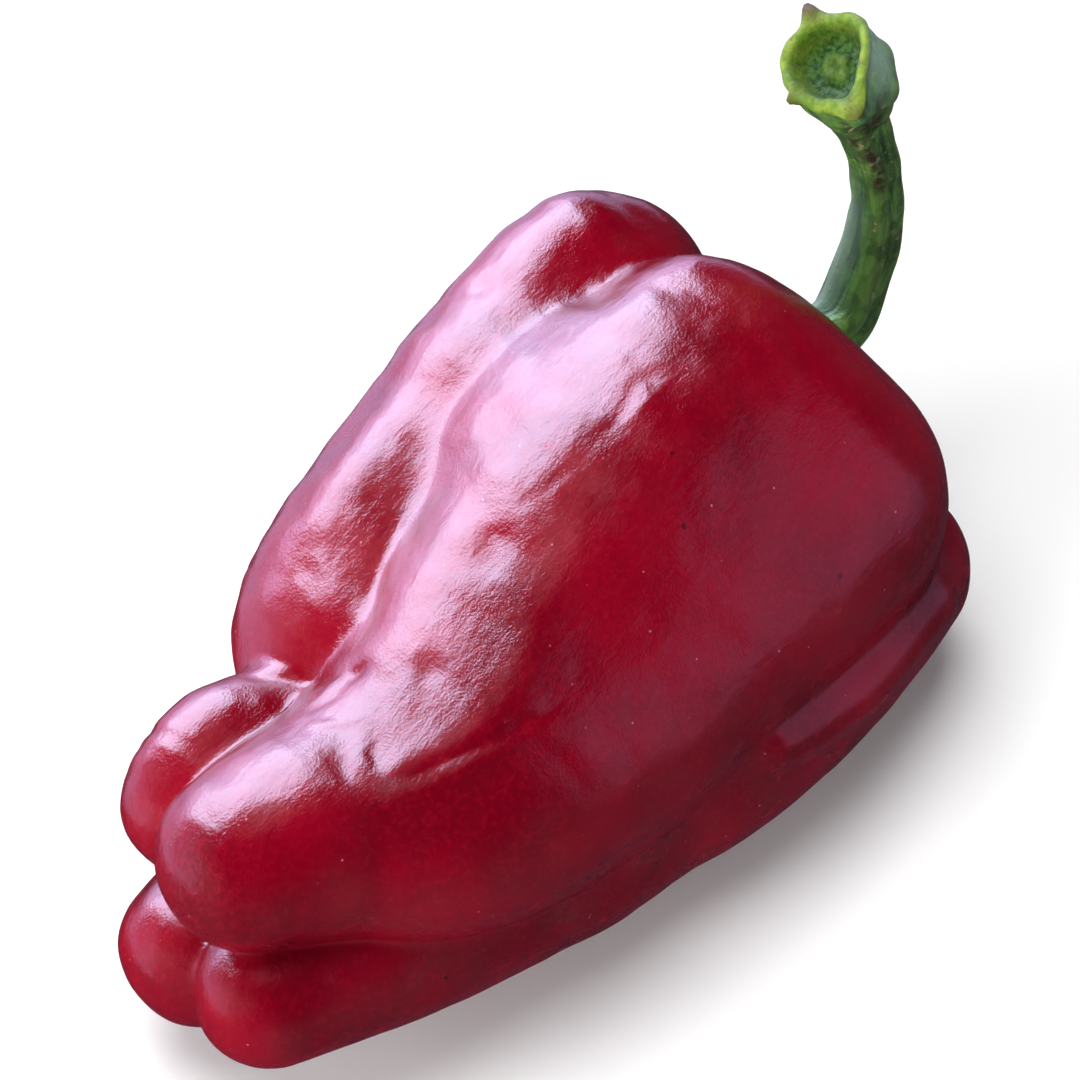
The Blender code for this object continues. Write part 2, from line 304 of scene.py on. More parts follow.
def folded_in(points, out):
    """How far the folds and dents draw each point of the skin in."""
    depths = np.zeros(len(points))
    for depth, width, stations in FOLDS:
        route = np.column_stack([rolled(np.array(stations)), np.zeros(len(stations))])
        middle = (route.min(axis=0) + route.max(axis=0))[:3] / 2
        half_size = np.ptp(route, axis=0)[:3] / 2 + 3 * width
        close = (np.abs(points - middle) < half_size).all(axis=1)
        share, offset, _, _ = beside_curve(points[close], with_ends(route))
        lift = (offset * out[close]).sum(axis=1)
        aside = offset - lift[:, None] * out[close]
        near = np.exp(-(aside**2).sum(axis=1) / width**2) * np.exp(-((lift / FOLD_REACH) ** 2))
        depths[close] += depth * near * (FOLD_AT_ENDS + (1 - FOLD_AT_ENDS) * np.sin(math.pi * share))
    return depths


def swelling(points):
    """Slow swells in the skin, stronger on the left of the fruit."""
    chance = np.random.default_rng(7)
    height = np.zeros(len(points))
    for wavelength, rise in SWELLS:
        for _ in range(WAVES_PER_SWELL):
            way = chance.normal(size=3)
            wave = points @ (way / np.linalg.norm(way)) * (2 * math.pi / wavelength)
            height += rise / math.sqrt(WAVES_PER_SWELL) * np.sin(wave + chance.uniform(0, 2 * math.pi))
    across = -math.cos(ROLL) * points[:, 1] - math.sin(ROLL) * points[:, 2]
    return height * np.interp(across, SWELLS_FADE_ACROSS, SWELLS_FADE)


def vertex_places(mesh):
    """The place of each vertex, one row each."""
    places = np.empty(len(mesh.vertices) * 3, np.float32)
    mesh.vertices.foreach_get("co", places)
    return places.reshape(-1, 3).astype(float)


def set_vertex_places(mesh, places):
    """Moves each vertex to its own row's place."""
    mesh.vertices.foreach_set("co", places.astype(np.float32).ravel())
    mesh.update()


def remeshed_balls(lines, voxel, name):
    """Balls set along every line, made into one closed mesh by a voxel remesh."""
    form = bmesh.new()
    for line in lines:
        for x, y, z, radius in on_curve(line, np.linspace(0.0, len(line) - 3, BALLS_TO_A_LINE))[0]:
            made = bmesh.ops.create_icosphere(form, subdivisions=3, radius=radius)
            bmesh.ops.translate(form, verts=made["verts"], vec=(x, y, z))
    mesh = bpy.data.meshes.new(name)
    form.to_mesh(mesh)
    form.free()
    balls = bpy.data.objects.new(name, mesh)
    bpy.context.scene.collection.objects.link(balls)
    remesh = balls.modifiers.new("one_body", "REMESH")
    remesh.mode = "VOXEL"
    remesh.voxel_size = voxel
    bpy.context.view_layer.update()
    graph = bpy.context.evaluated_depsgraph_get()
    merged = bpy.data.meshes.new_from_object(balls.evaluated_get(graph))
    bpy.data.objects.remove(balls, do_unlink=True)
    return merged


lobe_lines = [(softness, [with_ends(rolled(np.array(line))) for line in lines]) for softness, lines in LOBES]
all_lines = [line for _, lines in lobe_lines for line in lines]
fruit_mesh = remeshed_balls(all_lines, FRUIT_VOXEL, "pepper_fruit")
places, out = onto_fruit(vertex_places(fruit_mesh), 3)
places += (swelling(places) - folded_in(places, out))[:, None] * out

fruit_low, fruit_high = places.min(axis=0), places.max(axis=0)
cad_low, cad_high = (np.array(corner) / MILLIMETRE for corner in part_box("fruit"))
lie = (cad_low + cad_high - fruit_low - fruit_high) / 2
lie[2] = cad_low[2] - fruit_low[2]
set_vertex_places(fruit_mesh, (places + lie) * MILLIMETRE)
fruit_mesh.shade_smooth()
pepper_fruit = bpy.data.objects.new("pepper_fruit", fruit_mesh)
bpy.context.scene.collection.objects.link(pepper_fruit)


def new_material(name):
    """A material with its node tree and its shader, ready for more nodes."""
    material = bpy.data.materials.new(name)
    material.use_nodes = True
    return material, material.node_tree, material.node_tree.nodes["Principled BSDF"]


def grown_group(name, numbers, result, kind):
    """An empty node group that takes a place and some numbers and gives one result."""
    group = bpy.data.node_groups.new(name, "ShaderNodeTree")
    group.interface.new_socket("Place", in_out="INPUT", socket_type="NodeSocketVector")
    for number in numbers:
        group.interface.new_socket(number, in_out="INPUT", socket_type="NodeSocketFloat")
    group.interface.new_socket(result, in_out="OUTPUT", socket_type=kind)
    takes = group.nodes.new("NodeGroupInput").outputs
    return group, takes, group.nodes.new("NodeGroupOutput").inputs[result]


def in_group(tree, group, place, values):
    """Places a node group in a material with its own values, numbers or sockets, and gives its result."""
    node = tree.nodes.new("ShaderNodeGroup")
    node.node_tree = group
    tree.links.new(place, node.inputs["Place"])
    for name, value in values.items():
        if isinstance(value, float):
            node.inputs[name].default_value = value
        else:
            tree.links.new(value, node.inputs[name])
    return node.outputs[0]


def noise(tree, place, size, detail):
    """A noise whose lumps are about this many millimetres across."""
    larger = tree.nodes.new("ShaderNodeVectorMath")
    larger.operation = "SCALE"
    tree.links.new(place, larger.inputs["Vector"])
    tree.links.new(combined(tree, "DIVIDE", 1.0 / MILLIMETRE, size), larger.inputs["Scale"])
    lumps = tree.nodes.new("ShaderNodeTexNoise")
    lumps.inputs["Scale"].default_value = 1.0
    tree.links.new(larger.outputs["Vector"], lumps.inputs["Vector"])
    tree.links.new(detail, lumps.inputs["Detail"])
    return lumps.outputs["Fac"]


def spread(tree, value, low, high, to_low=0.0, to_high=1.0):
    """A value between low and high spread smoothly between two others."""
    node = tree.nodes.new("ShaderNodeMapRange")
    node.interpolation_type = "SMOOTHSTEP"
    for socket, number in zip(("From Min", "From Max", "To Min", "To Max"), (low, high, to_low, to_high)):
        node.inputs[socket].default_value = number
    tree.links.new(value, node.inputs["Value"])
    return node.outputs["Result"]


def mixed(tree, share, first, second):
    """A colour or socket mixed towards another by a share."""
    node = tree.nodes.new("ShaderNodeMix")
    node.data_type = "RGBA"
    tree.links.new(share, node.inputs["Factor"])
    for socket, colour in ((node.inputs["A"], first), (node.inputs["B"], second)):
        if isinstance(colour, tuple):
            socket.default_value = (*colour, 1.0)
        else:
            tree.links.new(colour, socket)
    return node.outputs["Result"]


def combined(tree, how, first, second):
    """Two values, either of them a plain number, joined by a sum, a product and so on."""
    node = tree.nodes.new("ShaderNodeMath")
    node.operation = how
    for socket, value in zip(node.inputs, (first, second)):
        if isinstance(value, float):
            socket.default_value = value
        else:
            tree.links.new(value, socket)
    return node.outputs["Value"]


# Soft-edged patches of any size, for blotches, sheen and torn edges.
patch_group, takes, gives = grown_group(
    "patches", ("Size", "Detail", "From", "To", "Low", "High"), "Amount", "NodeSocketFloat"
)
edges = patch_group.nodes.new("ShaderNodeMapRange")
edges.interpolation_type = "SMOOTHSTEP"
lumps = noise(patch_group, takes["Place"], takes["Size"], takes["Detail"])
patch_group.links.new(lumps, edges.inputs["Value"])
for socket, number in (("From Min", "From"), ("From Max", "To"), ("To Min", "Low"), ("To Max", "High")):
    patch_group.links.new(takes[number], edges.inputs[socket])
patch_group.links.new(edges.outputs["Result"], gives)

# A fine grain raised on top of whatever else stands out of a surface.
grain_group, takes, gives = grown_group(
    "grain", ("Size", "Detail", "Share", "Height", "Depth"), "Normal", "NodeSocketVector"
)
relief = noise(grain_group, takes["Place"], takes["Size"], takes["Detail"])
relief = combined(grain_group, "MULTIPLY", relief, takes["Share"])
bump = grain_group.nodes.new("ShaderNodeBump")
bump.inputs["Strength"].default_value = 1.0
grain_group.links.new(combined(grain_group, "MULTIPLY", takes["Depth"], MILLIMETRE), bump.inputs["Distance"])
grain_group.links.new(combined(grain_group, "ADD", relief, takes["Height"]), bump.inputs["Height"])
grain_group.links.new(bump.outputs["Normal"], gives)


def patches(tree, place, size, start, end, low=0.0, high=1.0, detail=2.0):
    """The share of a surface's patches, from low to high, where their noise runs from start to end."""
    values = {"Size": size, "Detail": detail, "From": start, "To": end, "Low": low, "High": high}
    return in_group(tree, patch_group, place, values)


RIPE_RED = (0.255, 0.0006, 0.0120)
DEEP_RED = (0.155, 0.0004, 0.0075)
BRIGHT_RED = (0.34, 0.004, 0.018)
DOT_PINK = (0.72, 0.30, 0.36)
PIT_SHADE_BLACK = (0.03, 0.001, 0.002)
# Millimetres between the pale dots, between the black spots of painted pit shade and across a wrinkle, and a
# wrinkle's length over that.
DOTS_APART = 2.6
PITS_APART = 9.0
WRINKLE_ACROSS = 1.1
WRINKLE_STRETCH = 3.5

skin, tree, shader = new_material("pepper_skin")
place = tree.nodes.new("ShaderNodeTexCoord").outputs["Object"]
depth_of_red = patches(tree, place, 22.0, 0.35, 0.7, detail=3.0)
red = mixed(tree, depth_of_red, RIPE_RED, DEEP_RED)
mottle = patches(tree, place, 0.9, 0.42, 0.75, 0.0, 0.35, detail=3.0)
red = mixed(tree, mottle, red, BRIGHT_RED)
dots = tree.nodes.new("ShaderNodeTexVoronoi")
dots.inputs["Scale"].default_value = 1 / (DOTS_APART * MILLIMETRE)
tree.links.new(place, dots.inputs["Vector"])
speck = spread(tree, dots.outputs["Distance"], 0.045, 0.07, 1.0, 0.0)
sparse = patches(tree, place, 6.0, 0.48, 0.62)
pale_dots = combined(tree, "MULTIPLY", combined(tree, "MULTIPLY", speck, sparse), 0.6)
red = mixed(tree, pale_dots, red, DOT_PINK)
# Small black spots: painted shade of tiny pits in the skin, which the mesh does not have.
pit_shades = tree.nodes.new("ShaderNodeTexVoronoi")
pit_shades.inputs["Scale"].default_value = 1 / (PITS_APART * MILLIMETRE)
tree.links.new(place, pit_shades.inputs["Vector"])
red = mixed(tree, spread(tree, pit_shades.outputs["Distance"], 0.03, 0.055, 0.8, 0.0), red, PIT_SHADE_BLACK)
tree.links.new(red, shader.inputs["Base Color"])
tree.links.new(patches(tree, place, 7.0, 0.3, 0.7, 0.15, 0.28, detail=3.0), shader.inputs["Roughness"])
shader.inputs["Coat Weight"].default_value = 0.15
shader.inputs["Coat Roughness"].default_value = 0.1
along_fruit = tree.nodes.new("ShaderNodeMapping")
stretch = (WRINKLE_STRETCH, 1.0, 1.0)
along_fruit.inputs["Scale"].default_value = [1 / (WRINKLE_ACROSS * MILLIMETRE * part) for part in stretch]
tree.links.new(place, along_fruit.inputs["Vector"])
streaks = tree.nodes.new("ShaderNodeTexNoise")
streaks.inputs["Scale"].default_value = 1.0
streaks.inputs["Detail"].default_value = 3.0
tree.links.new(along_fruit.outputs["Vector"], streaks.inputs["Vector"])
wrinkles = combined(tree, "MULTIPLY", streaks.outputs["Fac"], 1.3)
wrinkles = combined(tree, "ADD", wrinkles, patches(tree, place, 3.4, 0.0, 1.0, 0.0, 1.7, detail=4.0))
leather = {"Size": 0.35, "Detail": 3.0, "Share": 1.0, "Height": wrinkles, "Depth": 0.065}
tree.links.new(in_group(tree, grain_group, place, leather), shader.inputs["Normal"])
pepper_fruit.data.materials.clear()
pepper_fruit.data.materials.append(skin)
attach(pepper_fruit, "root")
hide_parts("fruit")

# ---------------------------------------------------------------------------------------------------
# The calyx: the flower's green cap, pressed onto the hollow between the shoulders. It is a leathery disc with
# five blunt points, a vein out to each of them, a thin rim that has dried brown, and a raised collar
# round the foot of the stem.

CALYX_ACROSS, CALYX_UP = -1.0, 0.6
CALYX_RADIUS = 12.3
CALYX_POINTS = 5
COLLAR_RADIUS = 5.2
COLLAR_RISE = 4.6
CALYX_THICK = 1.7
CALYX_LIFT = 0.1
# A place beyond the shoulders, from which the skin of the hollow is looked for, and the tries it takes.
BEYOND_SHOULDERS = 62.0
TRIES = 24


def rounded(name, across, down):
    """A ball's mesh with each vertex's turn about its axis and its share of the way down from its top."""
    form = bmesh.new()
    bmesh.ops.create_uvsphere(form, u_segments=across, v_segments=down, radius=1.0)
    mesh = bpy.data.meshes.new(name)
    form.to_mesh(mesh)
    form.free()
    unit = vertex_places(mesh)
    return mesh, np.arctan2(unit[:, 1], unit[:, 0]), np.arccos(np.clip(unit[:, 2], -1.0, 1.0)) / math.pi


def fruit_height(y, z):
    """How far along the fruit's skin is, looked down on from the stem's end."""
    x = np.full(len(y), BEYOND_SHOULDERS)
    for _ in range(TRIES):
        x -= fruit_surface(np.column_stack([x, y, z]))[0]
    return x


def add_piece(name, mesh, material, node):
    """A smooth-shaded object in the fruit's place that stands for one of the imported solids."""
    mesh.shade_smooth()
    mesh.materials.append(material)
    piece = bpy.data.objects.new(name, mesh)
    bpy.context.scene.collection.objects.link(piece)
    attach(piece, "root")
    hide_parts(node)
    return piece


def keep_values(mesh, name, values):
    """Stores one number for each vertex, for a material to read."""
    mesh.attributes.new(name, "FLOAT", "POINT").data.foreach_set("value", values.astype(np.float32))


def kept_values(tree, name):
    """The numbers stored under a name, in a material."""
    node = tree.nodes.new("ShaderNodeAttribute")
    node.attribute_name = name
    return node.outputs["Fac"]


calyx_mesh, turn, down = rounded("pepper_calyx", 160, 72)
out_share = 1.0 - np.abs(2.0 * down - 1.0)
wander = 0.35 * np.sin(2.0 * turn + 0.6) + 0.22 * np.sin(7.0 * turn + 1.9) + 0.12 * np.sin(13.0 * turn)
rim = CALYX_RADIUS + 2.2 * np.cos(CALYX_POINTS * turn + 0.3 * np.sin(turn)) + wander
reach = rim * out_share
_, centre_y, centre_z = rolled(np.array([(0.0, CALYX_ACROSS, CALYX_UP)]))[0]
y, z = centre_y + reach * np.cos(turn), centre_z + reach * np.sin(turn)
under = fruit_height(y, z) + CALYX_LIFT
collar = COLLAR_RISE / (1.0 + (reach / COLLAR_RADIUS) ** 6)
vein = np.clip(np.cos(CALYX_POINTS * turn), 0.0, 1.0) ** 24
vein = vein * np.interp(reach, (3.0, 6.0, 12.0), (0.0, 1.0, 0.3))
side_vein = np.clip(np.cos(3 * CALYX_POINTS * turn + 2.0 * np.sin(reach)), 0.0, 1.0) ** 6
side_vein = side_vein * np.interp(reach, (5.0, 8.0), (0.0, 1.0))
crown = CALYX_THICK * np.sqrt(np.clip(1.0 - out_share**6, 0.0, 1.0))
top = under + crown + collar + 0.55 * vein + 0.18 * side_vein
top += 0.25 * np.sin(4.0 * turn + 0.5 * reach) * out_share + 0.5 * np.clip(out_share - 0.8, 0.0, 1.0) / 0.2
x = np.where(down < 0.499, top, under)
set_vertex_places(calyx_mesh, (np.column_stack([x, y, z]) + lie) * MILLIMETRE)
calyx_mesh.flip_normals()
keep_values(calyx_mesh, "vein", np.clip(vein + 0.4 * side_vein, 0.0, 1.0))
keep_values(calyx_mesh, "rim", np.clip((out_share - 0.86) / 0.14, 0.0, 1.0))
collar_top = top[np.argmin(down)]

LEAF_DARK = (0.035, 0.105, 0.022)
LEAF_GREEN = (0.075, 0.19, 0.035)
VEIN_GREEN = (0.22, 0.36, 0.10)
RIM_BROWN = (0.13, 0.085, 0.03)
SPOT_GREEN = (0.02, 0.05, 0.015)

calyx_green, tree, shader = new_material("calyx_green")
place = tree.nodes.new("ShaderNodeTexCoord").outputs["Object"]
green = mixed(tree, patches(tree, place, 5.0, 0.35, 0.65, detail=3.0), LEAF_DARK, LEAF_GREEN)
green = mixed(tree, combined(tree, "MULTIPLY", kept_values(tree, "vein"), 0.7), green, VEIN_GREEN)
dry = combined(tree, "MULTIPLY", kept_values(tree, "rim"), patches(tree, place, 2.5, 0.4, 0.6, 0.35, 1.0))
green = mixed(tree, dry, green, RIM_BROWN)
green = mixed(tree, patches(tree, place, 0.8, 0.6, 0.75, 0.0, 0.6), green, SPOT_GREEN)
tree.links.new(green, shader.inputs["Base Color"])
tree.links.new(patches(tree, place, 3.0, 0.3, 0.7, 0.38, 0.6), shader.inputs["Roughness"])
leathery = {"Size": 0.7, "Detail": 4.0, "Share": 1.0, "Height": 0.0, "Depth": 0.15}
tree.links.new(in_group(tree, grain_group, place, leathery), shader.inputs["Normal"])
add_piece("pepper_calyx", calyx_mesh, calyx_green, "calyx")

# ---------------------------------------------------------------------------------------------------
# The stem: a tough green stalk, ribbed and a little twisted, that leaves the collar, turns up and swells into
# the joint where it was picked. The joint came away clean, which left a cup with a thick pale rim, a
# torn tag, and a button of pith at the bottom of it. Brown scars run down its front.

# Stations of the stalk's centre line: along, across, up, radius.
STEM_LINE = [
    (0.0, -1.0, 0.6, 4.3),
    (58.3, -2.0, 4.0, 4.6),
    (63.5, -5.8, 12.0, 4.3),
    (65.5, -9.7, 20.0, 3.9),
    (65.7, -13.5, 26.3, 3.6),
    (64.9, -17.2, 32.0, 3.7),
    (63.4, -20.5, 36.8, 4.2),
    (61.4, -23.4, 42.3, 6.2),
    (60.2, -25.0, 45.3, 7.0),
    (58.1, -27.8, 48.7, 6.8),
]
FOOT_SINKS = 0.6
STEM_RINGS = 150
STEM_RIBS = 5.0
# The cut face, from its outer edge to the pith: share of the head's radius, and height beyond the line's end.
CUT_RIM = [(1.03, 0.5), (1.05, 1.1), (1.0, 1.6), (0.93, 1.75), (0.85, 1.6), (0.79, 1.1), (0.75, 0.3)]
CUT_WELL = [(0.71, -0.6), (0.65, -1.3), (0.57, -1.75), (0.49, -1.9), (0.42, -2.0), (0.36, -1.9)]
CUT_PITH = [(0.31, -1.4), (0.25, -1.05), (0.17, -0.95), (0.08, -1.05)]
CUT_FACE = CUT_RIM + CUT_WELL + CUT_PITH
# Turns about the stalk: 0 is the side towards +X and -Y, a quarter turn on from it is the top of the head.
TURN_START = (0.634, -0.774, 0.0)
TAG_TURN = math.radians(107.0)
SPIKE_TURN = math.radians(-137.0)
LIP_TURN = math.radians(-70.0)
FLAT_TURN = math.radians(-5.0)
# The lower stalk's side towards the window, where a pale painted reflection goes.
REFLECTION_TURN = math.radians(-165.0)
# Brown scars: share of the way up, turn in degrees, half-length and half-width.
SCARS = (
    (0.66, -105.0, 0.09, 16.0),
    (0.56, -85.0, 0.07, 12.0),
    (0.47, -80.0, 0.04, 18.0),
    (0.74, -60.0, 0.03, 25.0),
)

# The stalk's first station goes down into the collar, wherever the skin of the hollow has set that.
stem_foot = (collar_top - FOOT_SINKS, *STEM_LINE[0][1:])
stations = with_ends(rolled(np.array([stem_foot] + STEM_LINE[1:])))
centre_rows, rates = on_curve(stations, np.linspace(0.0, len(STEM_LINE) - 1, STEM_RINGS))
tangents = rates[:, :3] / np.linalg.norm(rates[:, :3], axis=1, keepdims=True)
sides = np.array(TURN_START) - (tangents @ TURN_START)[:, None] * tangents
sides /= np.linalg.norm(sides, axis=1, keepdims=True)
ups = np.cross(tangents, sides)

all_rings = STEM_RINGS + len(CUT_FACE)
stem_mesh, turn, down = rounded("pepper_stem", 96, all_rings + 1)
ring = np.rint((1.0 - down) * (all_rings + 1)).astype(int) - 1
on_face = ring >= STEM_RINGS
face_steps = np.clip(ring - STEM_RINGS, 0, len(CUT_FACE) - 1)
face_share, face_rise = np.array(CUT_FACE)[face_steps].T
pole = (ring < 0) | (ring >= all_rings)
row = np.clip(ring, 0, STEM_RINGS - 1)
up_share = row / (STEM_RINGS - 1)


def near_turn(angle, width):
    """1 at an angle about the stalk, falling away over a width in radians."""
    apart = (turn - angle + math.pi) % (2 * math.pi) - math.pi
    return np.exp(-((apart / width) ** 2))


ribs = 0.075 * np.cos(STEM_RIBS * turn + 0.9 + 1.6 * up_share)
ribs = ribs + 0.035 * np.cos(2.0 * turn + 1.0 + 5.0 * up_share)
lumps = 0.02 * np.sin(31.0 * up_share + 2.0 * turn) + 0.018 * np.sin(53.0 * up_share - turn + 1.0)
head = np.clip((up_share - 0.83) / 0.1, 0.0, 1.0)
foot = np.clip(1.0 - up_share / 0.08, 0.0, 1.0)
uneven = 0.035 * np.sin(3.0 * turn + 0.4) + 0.01 * np.sin(7.0 * turn + 2.0) + 0.007 * np.sin(13.0 * turn)
uneven += 0.12 * near_turn(LIP_TURN, 0.8) + 0.2 * near_turn(LIP_TURN, 0.3) - 0.16 * near_turn(FLAT_TURN, 0.7)
wide = 1.0 + (1.0 - head) * ribs + lumps * (1.0 - 0.5 * head) + head * uneven + 0.25 * foot**2
radius = centre_rows[row, 3] * wide * np.where(on_face, face_share, 1.0)
rise = np.where(on_face, face_rise, 0.0)
edge_inside = np.interp(face_steps, (0.0, 2.0, 5.0), (0.6, 1.0, 0.0))
edge_outside = np.interp(up_share, (0.97, 1.0), (0.0, 0.6))
edge = np.where(on_face, edge_inside, edge_outside)
rise += edge * (0.4 * np.sin(2.0 * turn + 1.2) + 0.12 * np.sin(7.0 * turn))
points_out = 2.3 * near_turn(TAG_TURN, 0.19) + 1.5 * near_turn(SPIKE_TURN, 0.09)
points_out = points_out + 1.6 * near_turn(LIP_TURN, 0.25)
radius += edge * points_out
rise += edge * (1.0 * near_turn(TAG_TURN, 0.15) - 0.8 * near_turn(LIP_TURN, 0.6))
rise += on_face * (face_share < 0.35) * 0.25 * np.sin(3.0 * turn + 1.0)
radius = np.where(pole, 0.0, radius)
rise = np.where(ring < 0, -0.5, rise)
rise = np.where(ring >= all_rings, CUT_FACE[-1][1] - 0.05, rise)
places = centre_rows[row, :3] + rise[:, None] * tangents[row]
places += (radius * np.cos(turn))[:, None] * sides[row] + (radius * np.sin(turn))[:, None] * ups[row]
set_vertex_places(stem_mesh, (places + lie) * MILLIMETRE)

scar = np.zeros(len(turn))
for share, angle, half_length, half_width in SCARS:
    up_from_middle = np.exp(-(((up_share - share) / half_length) ** 2))
    scar += up_from_middle * near_turn(math.radians(angle), math.radians(half_width))
keep_values(stem_mesh, "scar", np.where(on_face, 0.0, np.clip(scar, 0.0, 1.0)))
torn_points = near_turn(TAG_TURN, 0.17) + 0.6 * near_turn(SPIKE_TURN, 0.1) + 0.5 * near_turn(LIP_TURN, 0.14)
keep_values(stem_mesh, "dry", np.clip(1.4 * edge * torn_points, 0.0, 1.0))
keep_values(stem_mesh, "rib", np.clip(0.5 + 6.0 * ribs, 0.0, 1.0))
# Pale painted reflection on the lower stalk's window side and on the head's right side, partly a pale bloom
# colour.
low_reflection = near_turn(REFLECTION_TURN, 0.6) * np.interp(up_share, (0.3, 0.5), (1.0, 0.0))
keep_values(stem_mesh, "bloom_and_reflection", np.clip(low_reflection + head * near_turn(0.2, 0.9), 0.0, 1.0))
keep_values(stem_mesh, "cut", np.where(on_face, np.interp(face_steps, (0.0, 2.0), (0.2, 1.0)), 0.0))
# Painted shade in the cup: the cut face darkens towards the floor of the hollow, over the cut tissue's own darker
# green.
cup_shade = np.interp(face_share, (0.2, 0.4, 0.62, 0.88), (0.55, 1.0, 0.9, 0.0))
keep_values(stem_mesh, "cup_shade", np.where(on_face, cup_shade, 0.0))
grain = stem_mesh.attributes.new("grain", "FLOAT_VECTOR", "POINT")
fibres = np.column_stack([4.0 * np.cos(turn), 4.0 * np.sin(turn), 10.0 * up_share])
grain.data.foreach_set("vector", fibres.astype(np.float32).ravel())

BARK_DARK = (0.022, 0.078, 0.018)
BARK_GREEN = (0.10, 0.27, 0.045)
RIB_GREEN = (0.18, 0.36, 0.07)
PATCH_GREEN = (0.018, 0.045, 0.02)
BLOOM_AND_REFLECTION_GREY = (0.36, 0.56, 0.46)
SCAR_BROWN = (0.055, 0.032, 0.018)
SPECK_TAN = (0.42, 0.34, 0.18)
FLESH_GREEN = (0.12, 0.22, 0.015)
FLESH_PALE = (0.26, 0.37, 0.04)
FLESH_BROWN = (0.12, 0.10, 0.03)
WELL_SHADE_DARK = (0.006, 0.028, 0.006)
WELL_GREEN = (0.045, 0.12, 0.02)
DRY_BROWN = (0.10, 0.062, 0.03)

stem_green, tree, shader = new_material("stem_green")
place = tree.nodes.new("ShaderNodeTexCoord").outputs["Object"]
fibre_node = tree.nodes.new("ShaderNodeAttribute")
fibre_node.attribute_name = "grain"
strands = tree.nodes.new("ShaderNodeTexNoise")
strands.inputs["Scale"].default_value = 1.3
strands.inputs["Detail"].default_value = 4.0
tree.links.new(fibre_node.outputs["Vector"], strands.inputs["Vector"])
strand = spread(tree, strands.outputs["Fac"], 0.35, 0.65)
bark = mixed(tree, strand, BARK_DARK, BARK_GREEN)
bark = mixed(tree, combined(tree, "MULTIPLY", kept_values(tree, "rib"), 0.55), bark, RIB_GREEN)
patch = patches(tree, place, 3.0, 0.45, 0.62, detail=3.0)
bark = mixed(tree, combined(tree, "MULTIPLY", patch, 0.55), bark, PATCH_GREEN)
# Pale blue-grey where the stalk faces the window and on the head's right side: painted reflection, partly a waxy
# bloom.
bark = mixed(tree, combined(tree, "MULTIPLY", kept_values(tree, "bloom_and_reflection"), 0.75), bark, BLOOM_AND_REFLECTION_GREY)
torn = combined(tree, "MULTIPLY", kept_values(tree, "scar"), patches(tree, place, 1.1, 0.36, 0.56, detail=3.0))
bark = mixed(tree, torn, bark, SCAR_BROWN)
bark = mixed(tree, patches(tree, place, 1.6, 0.66, 0.72, 0.0, 0.7), bark, SPECK_TAN)
flesh = mixed(tree, patches(tree, place, 1.8, 0.35, 0.7, detail=3.0), FLESH_GREEN, FLESH_PALE)
flesh = mixed(tree, patches(tree, place, 0.9, 0.6, 0.7, 0.0, 0.6), flesh, FLESH_BROWN)
# The cup's floor in painted shade, mixed in patches with the tissue's green; it darkens the cut face towards the
# bottom of the hollow.
well_in_shade = mixed(tree, patches(tree, place, 0.7, 0.35, 0.65, detail=3.0), WELL_SHADE_DARK, WELL_GREEN)
flesh = mixed(tree, kept_values(tree, "cup_shade"), flesh, well_in_shade)
whole = mixed(tree, kept_values(tree, "cut"), bark, flesh)
whole = mixed(tree, kept_values(tree, "dry"), whole, DRY_BROWN)
tree.links.new(whole, shader.inputs["Base Color"])
sheen = patches(tree, place, 1.5, 0.3, 0.7, 0.32, 0.55)
rougher = combined(tree, "MULTIPLY", kept_values(tree, "cut"), 0.35)
tree.links.new(combined(tree, "ADD", sheen, rougher), shader.inputs["Roughness"])
shader.inputs["Specular IOR Level"].default_value = 0.25
fibrous = {"Size": 0.8, "Detail": 3.0, "Share": 0.6, "Height": strands.outputs["Fac"], "Depth": 0.35}
tree.links.new(in_group(tree, grain_group, place, fibrous), shader.inputs["Normal"])
add_piece("pepper_stem", stem_mesh, stem_green, "stem")

# ---------------------------------------------------------------------------------------------------
# The studio: a plain white table that glows a little, the camera, and two sets of soft boxes. One set stands
# for a tall window, two dim walls and the lit table, and shows only in glossy reflections. The other is plain
# white, stands at the window's side and overhead, and gives nearly all the shading and the shadow.

TABLE_HALF_WIDTH = 3.0
TABLE_GLOW = 0.12

table_mesh = bpy.data.meshes.new("table_top")
form = bmesh.new()
bmesh.ops.create_grid(form, x_segments=1, y_segments=1, size=TABLE_HALF_WIDTH)
form.to_mesh(table_mesh)
form.free()
table_top = bpy.data.objects.new("table_top", table_mesh)
bpy.context.scene.collection.objects.link(table_top)
table_white, _, table_shader = new_material("table_white")
table_shader.inputs["Base Color"].default_value = (0.93, 0.93, 0.94, 1.0)
table_shader.inputs["Roughness"].default_value = 0.7
table_shader.inputs["Emission Color"].default_value = (1.0, 1.0, 1.0, 1.0)
table_shader.inputs["Emission Strength"].default_value = TABLE_GLOW
table_shader.inputs["Specular IOR Level"].default_value = 0.0
table_top.visible_glossy = False
table_mesh.materials.append(table_white)

CAMERA_RISE = math.radians(55.0)
CAMERA_TURN = math.radians(50.68)
CAMERA_DISTANCE = 550.0
LENS = 131.1
